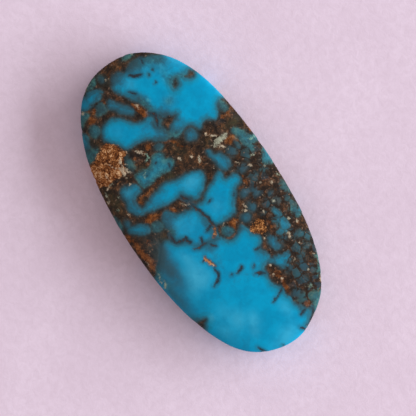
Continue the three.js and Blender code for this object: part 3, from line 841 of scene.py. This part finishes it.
def stoneMaterial():
    look = stoneLook
    paint = {name: tint(*shade) for name, shade in look.items() if isinstance(shade, tuple)}
    w = Wiring("turquoise with matrix")
    place = w.millimetres()

    # shared grain, from broad clouds to fine specks
    clouds = w.noise(place, look["cloudScale"], 4.0)["Fac"]
    lumpNoise = w.noise(place, look["lumpScale"], 4.0, 0.6, 0.7)
    lumps = lumpNoise["Fac"]
    grainNoise = w.noise(place, look["grainScale"], 4.0, 0.62, 0.9)
    grains = grainNoise["Fac"]
    specks = w.noise(place, look["speckScale"], 3.0, 0.6)["Fac"]
    ragged = w.plus(w.times(lumps, 0.5), w.times(grains, 0.5))
    ragged = w.minus(ragged, 0.5)
    jitter = w.times(ragged, look["edgeJitter"])
    fine = w.minus(specks, 0.5)
    patchy = w.push(w.times(lumps, 0.45), grains, 0.35)
    patchy = w.push(patchy, specks, 0.2)

    # angular fragments in the dark ground, with dark gaps between them that also cut into small blue pieces
    broken = w.attribute("breccia")
    bent = w.bent(place, lumpNoise["Color"], look["rubbleBend"])
    rubble = w.split(w.cells(bent, look["rubbleScale"])["Color"])
    gaps = w.cells(bent, look["rubbleScale"], "DISTANCE_TO_EDGE")["Distance"]
    cuts = w.times(w.span(gaps, 0.16, 0.0), broken)

    # how deep inside the blue each place lies
    depth = w.plus(w.plus(w.attribute("blueDepth"), look["blueSpread"]), jitter)
    depth = w.push(depth, w.times(jitter, broken), 1.0)
    depth = w.minus(depth, w.times(cuts, look["cutDepth"]))

    # blue, from slate at its edges to clear sky blue where it is deep
    reach = w.span(depth, -0.35, look["blueReach"])
    clear = w.ramp(reach, look["clearBlue"])
    dull = w.ramp(reach, look["dullBlue"])
    wavering = w.plus(w.attribute("tone"), w.times(ragged, 0.9))
    blue = w.mix(w.span(wavering, 0.0, 1.0), dull, clear)
    deeper = w.times(w.span(clouds, 0.55, 0.4), w.span(depth, 0.4, 1.4))
    blue = w.mix(w.times(deeper, 0.5), blue, paint["deepBlue"])
    # paler blue from the pale washes, with the painted sheen along the north rim and the painted light on
    # the west pool
    paleAndSheenShare = w.times(w.attribute("pale"), w.span(clouds, 0.3, 0.6, 0.35, 1.0))
    blue = w.mix(w.times(paleAndSheenShare, w.span(depth, 0.0, 0.8)), blue, paint["paleBlue"])
    verdigris = w.ramp(w.span(patchy, 0.38, 0.6), look["green"])
    blue = w.mix(w.attribute("green"), blue, verdigris)
    smoky = w.times(w.attribute("smoke"), w.span(lumps, 0.25, 0.6, 0.6, 0.95))
    blue = w.mix(smoky, blue, paint["smoke"])
    uneven = w.plus(w.times(lumps, 0.6), w.times(grains, 0.4))
    blue = w.mix(w.span(uneven, 0.3, 0.7), w.mix(0.14, blue, paint["mottle"]), blue)

    # brown matrix, dark and patchy, with olive and rusty ground
    brown = w.ramp(w.span(patchy, 0.35, 0.66), look["brown"])
    oliveShare = w.times(w.attribute("olive"), w.span(lumps, 0.35, 0.6, 0.3, 0.9))
    brown = w.mix(oliveShare, brown, paint["olive"])
    shifted = w.node("Mapping", {"Vector": place, "Location": (31.0, 17.0, 5.0)}).outputs["Vector"]
    stains = w.noise(shifted, look["stainScale"], 5.0, 0.66)["Fac"]
    rustField = w.push(w.attribute("rust"), w.minus(stains, 0.58), 2.2)
    rustField = w.push(rustField, ragged, 0.9)
    rusty = w.ramp(w.span(patchy, 0.3, 0.7), look["rust"])
    rustShare = w.times(w.span(rustField, 0.1, 0.7), 0.9)
    brown = w.mix(rustShare, brown, rusty)

    # the ground turns to slate where it meets the blue, except where it is rusty
    slateShare = w.times(w.span(depth, -0.6, -0.05), w.span(stains, 0.35, 0.6, 0.0, 0.6))
    slateShare = w.times(slateShare, w.span(rustShare, 0.0, 0.8, 1.0, 0.1))
    brown = w.mix(slateShare, brown, paint["slate"])

    # fragments, gaps, and pale grains scattered in the matrix
    chosen = w.span(w.push(rubble[0], ragged, 0.9), 0.55, 0.75)
    fragmentShare = w.times(w.times(chosen, w.span(gaps, 0.03, 0.2)), broken)
    fragment = w.ramp(w.push(rubble[1], ragged, 1.2), look["fragment"])
    brown = w.mix(w.times(fragmentShare, 0.75), brown, fragment)
    brown = w.mix(w.times(cuts, 0.6), brown, paint["gap"])
    brown = w.mix(w.times(smoky, 0.65), brown, paint["smoke"])
    dust = w.cells(bent, look["dustScale"])
    rare = w.span(w.push(w.split(dust["Color"])[1], broken, 0.1), 0.8, 0.9)
    dustShare = w.times(rare, w.span(w.push(dust["Distance"], ragged, 0.8), 0.45, 0.1))
    brown = w.mix(w.times(dustShare, 0.55), brown, paint["dust"])

    # the grainy patches: crumbs of different tones with dark cracks between them
    crumbPlace = w.bent(place, grainNoise["Color"], look["crumbBend"])
    crumb = w.split(w.cells(crumbPlace, look["crumbScale"])["Color"])[0]
    crumbTone = w.push(w.times(crumb, 0.22), patchy, 0.7)
    crumbTone = w.push(crumbTone, fine, 1.0)
    crumbTone = w.push(crumbTone, ragged, 0.8)
    crumbShare = w.span(crumbTone, 0.16, 0.74)
    rustyCrumbs = w.ramp(crumbShare, look["crumbs"])
    goldenCrumbs = w.ramp(crumbShare, look["gold"])
    grainBody = w.mix(w.attribute("golden"), rustyCrumbs, goldenCrumbs)
    grainDepth = w.push(w.push(w.attribute("grainDepth"), ragged, 1.2), fine, 0.4)
    grainShare = w.span(grainDepth, -0.14, 0.16)

    # blue over brown, then the patches, veins and flecks
    blueShare = w.span(depth, -0.28, 0.12)
    body = w.mix(blueShare, brown, blue)
    veil = w.times(w.span(patchy, 0.42, 0.58), w.span(w.attribute("tone"), 0.6, 0.2))
    body = w.mix(w.times(w.times(veil, broken), 0.6), body, brown)
    body = w.mix(grainShare, body, grainBody)
    veinDepth = w.push(w.push(w.attribute("veinDepth"), ragged, 0.75), fine, 0.25)
    halo = w.times(w.span(veinDepth, -0.45, 0.05), 0.7)
    body = w.mix(halo, body, paint["veinHalo"])
    stain = w.push(w.attribute("veinStain"), w.minus(grains, 0.5), 1.4)
    stain = w.push(stain, w.span(veinDepth, 0.0, 0.2, -0.35, 0.15), 1.0)
    veinColour = w.ramp(w.span(stain, -0.1, 1.1), look["vein"])
    body = w.mix(w.span(veinDepth, -0.16, 0.1, 0.0, 0.92), body, veinColour)
    fleckDepth = w.push(w.push(w.attribute("fleckDepth"), ragged, 0.8), fine, 0.5)
    fleckColour = w.mix(w.attribute("fleckMint"), paint["cream"], paint["mint"])
    fleckColour = w.mix(w.span(grains, 0.6, 0.4, 0.0, 0.45), fleckColour, paint["olive"])
    fleckShare = w.times(w.span(fleckDepth, -0.1, 0.12, 0.0, 0.92), w.push(1.0, broken, -0.25))
    body = w.mix(fleckShare, body, fleckColour)

    # the ground back is duller, with fine scratches
    backward = w.attribute("backward")
    combed = w.node("Mapping", {"Vector": place, "Rotation": (0, 0, 0.5), "Scale": (0.25, 7.0, 1.0)})
    scratches = w.noise(combed.outputs["Vector"], 1.0, 3.0)["Fac"]
    chalk = w.times(backward, w.span(scratches, 0.4, 0.75, 0.08, 0.3))
    body = w.mix(chalk, body, paint["scratched"])

    matrixShare = w.minus(1.0, blueShare)
    rough = w.push(look["roughBlue"], matrixShare, look["roughBrown"] - look["roughBlue"])
    rough = w.push(rough, ragged, 0.25)
    rough = w.push(rough, backward, 0.22)

    # fine relief, below what the mesh holds
    relief = w.times(w.push(grains, specks, 0.6), w.push(0.12, matrixShare, 0.9))
    relief = w.plus(relief, w.times(grainShare, crumbTone))
    relief = w.push(relief, w.times(backward, scratches), 0.4)
    bump = w.node("Bump", {"Height": relief, "Strength": 0.6, "Distance": 0.06 * mm})
    return w.surface({
        "Base Color": body, "Roughness": rough, "Normal": bump.outputs["Normal"],
        "IOR": 1.6, "Specular IOR Level": look["specular"]})


stonePiece = makeStone()
stonePiece.data.materials.append(stoneMaterial())
print("turquoise stone made")


# Paper, light and sky

paper = {
    "halfSide": 450,
    "cloudScale": 0.08,
    "fibreScale": 1.1,
    "shade": (233, 211, 229),
    "shadeLow": (225, 202, 220),
    "speckle": (217, 194, 211),
    "fibre": 0.3,  # strength of its relief
}

light = {
    "keySide": 58,  # degrees from the stone's +X, anticlockwise, seen from above
    "keyHeight": 19,  # degrees above the paper
    "keyDistance": 2.2,  # metres, as are the window's width and height
    "keyWidth": 3.74,
    "keyTall": 1.01,
    "keyPower": 109.0,
    "keyTint": (0.88, 0.98, 1.0),
    "skyTint": (1.0, 0.92, 0.9),
    "skyStrength": 0.55,
    "backdrop": (206, 190, 203),  # the room behind the paper, as the camera sees it
}


def paperMaterial():
    w = Wiring("pale paper")
    place = w.millimetres()
    clouds = w.noise(place, paper["cloudScale"], 6.0, 0.65)["Fac"]
    fibres = w.noise(place, paper["fibreScale"], 6.0, 0.75, 0.4)["Fac"]
    colour = w.mix(w.span(clouds, 0.3, 0.7), tint(*paper["shadeLow"]), tint(*paper["shade"]))
    colour = w.mix(w.span(fibres, 0.35, 0.68, 0.0, 0.6), colour, tint(*paper["speckle"]))
    bump = w.node("Bump", {"Height": fibres, "Strength": paper["fibre"], "Distance": 0.1 * mm})
    return w.surface({
        "Base Color": colour, "Roughness": 1.0, "Normal": bump.outputs["Normal"], "Specular IOR Level": 0.0})


def makePaper():
    bm = bmesh.new()
    bmesh.ops.create_grid(bm, x_segments=1, y_segments=1, size=paper["halfSide"] * mm)
    mesh = bpy.data.meshes.new("paper")
    bm.to_mesh(mesh)
    bm.free()
    mesh.materials.append(paperMaterial())
    floor = added("paper", mesh)


def makeLight():
    side, height = math.radians(light["keySide"]), math.radians(light["keyHeight"])
    toward = Vector((math.cos(side) * math.cos(height), math.sin(side) * math.cos(height), math.sin(height)))
    data = bpy.data.lights.new("softWindow", "AREA")
    data.shape = "RECTANGLE"
    data.size = light["keyWidth"]
    data.size_y = light["keyTall"]
    data.energy = light["keyPower"]
    data.color = light["keyTint"]
    lamp = added("softWindow", data)
    lamp.location = toward * light["keyDistance"]
    lamp.rotation_mode = "QUATERNION"
    lamp.rotation_quaternion = toward.to_track_quat("Z", "Y")
    lamp.visible_glossy = False  # a low window would burn out the polish in views towards it
    world = bpy.data.worlds.new("soft room")
    world.use_nodes = True
    nodes, links = world.node_tree.nodes, world.node_tree.links
    sky = nodes["Background"]
    sky.inputs["Color"].default_value = (*light["skyTint"], 1.0)
    sky.inputs["Strength"].default_value = light["skyStrength"]
    backdrop = nodes.new("ShaderNodeBackground")
    backdrop.inputs["Color"].default_value = tint(*light["backdrop"])
    rays = nodes.new("ShaderNodeLightPath")
    blend = nodes.new("ShaderNodeMixShader")
    links.new(rays.outputs["Is Camera Ray"], blend.inputs["Fac"])
    links.new(sky.outputs["Background"], blend.inputs[1])
    links.new(backdrop.outputs["Background"], blend.inputs[2])
    links.new(blend.outputs["Shader"], nodes["World Output"].inputs["Surface"])
    bpy.context.scene.world = world
    bpy.context.scene.view_settings.view_transform = "Standard"


makePaper()
makeLight()
print("paper and light ready")
